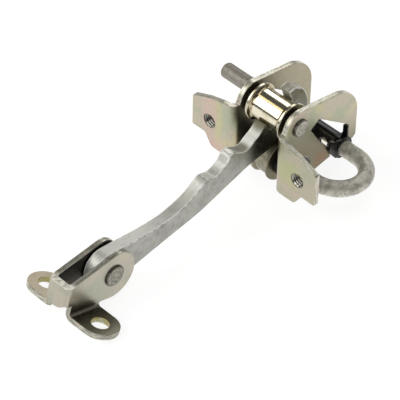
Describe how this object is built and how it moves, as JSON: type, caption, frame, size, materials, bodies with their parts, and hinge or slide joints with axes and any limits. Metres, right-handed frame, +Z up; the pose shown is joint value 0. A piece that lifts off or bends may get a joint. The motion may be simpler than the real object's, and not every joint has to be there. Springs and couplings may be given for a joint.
{
  "type": "door limiter strap",
  "caption": "Notched arm pivots in a pillar clevis and runs between two rollers of a sheet-metal door bracket; a U-shaped torsion rod presses the lower roller to hold the door.",
  "frame": {"origin": "midway between the bracket's two tapped holes, at the flanges' front face", "axes": "+X from the pillar clevis to the door bracket, square to the flanges; +Y to the cheek away from the rod's bend; +Z up the cheeks, towards the top roller"},
  "size_m": [0.188, 0.1113, 0.0547],
  "materials": {
    "bracket_zinc": "passivated zinc plate with faint warm tints",
    "clevis_zinc": "passivated zinc plate",
    "arm_steel": "satin zinc plated forging",
    "rod_steel": "dull grey spring steel, mottled",
    "roller_bright": "bright turned and plated",
    "roller_zinc": "turned, zinc plated",
    "rivet_steel": "upset rivet head, zinc plated",
    "collar_steel": "dark olive collar",
    "black_plastic": "black moulded plastic"
  },
  "bodies": {
    "bracket": {"cheek_near": "bracket_zinc", "cheek_far": "bracket_zinc", "roller_pin": "rivet_steel", "collar_near": "collar_steel", "collar_far": "collar_steel", "guide_near": "black_plastic", "guide_far": "black_plastic"},
    "top_roller": {"top_roller": "roller_bright"},
    "rod": {"torsion_rod": "rod_steel", "lower_bush": "black_plastic"},
    "lower_roller": {"lower_roller": "roller_zinc"},
    "arm": {"check_arm": "arm_steel"},
    "clevis": {"pillar_clevis": "clevis_zinc", "hinge_rivet": "rivet_steel"}
  },
  "joints": [
    {"name": "arm_rock", "type": "hinge", "parent": "bracket", "child": "arm", "pos_m": [0.0147, 0, 0.0169], "axis": [0, 1, 0], "range_deg": [-6, 8]},
    {"name": "clevis_swing", "type": "hinge", "parent": "arm", "child": "clevis", "pos_m": [-0.09955, 0, -0.012], "axis": [0, 1, 0], "range_deg": [-45, 55]},
    {"name": "top_roller_spin", "type": "hinge", "parent": "bracket", "child": "top_roller", "pos_m": [0.0147, 0, 0.0169], "axis": [0, 1, 0], "continuous": true},
    {"name": "rod_spring", "type": "hinge", "parent": "bracket", "child": "rod", "pos_m": [0.0459, 0, -0.0145], "axis": [0, -1, 0], "range_deg": [0, 10], "stiffness_Nm_per_rad": 20, "springref_deg": -2.86},
    {"name": "lower_roller_spin", "type": "hinge", "parent": "rod", "child": "lower_roller", "pos_m": [0.0159, 0, -0.0124], "axis": [0, 1, 0], "continuous": true}
  ]
}
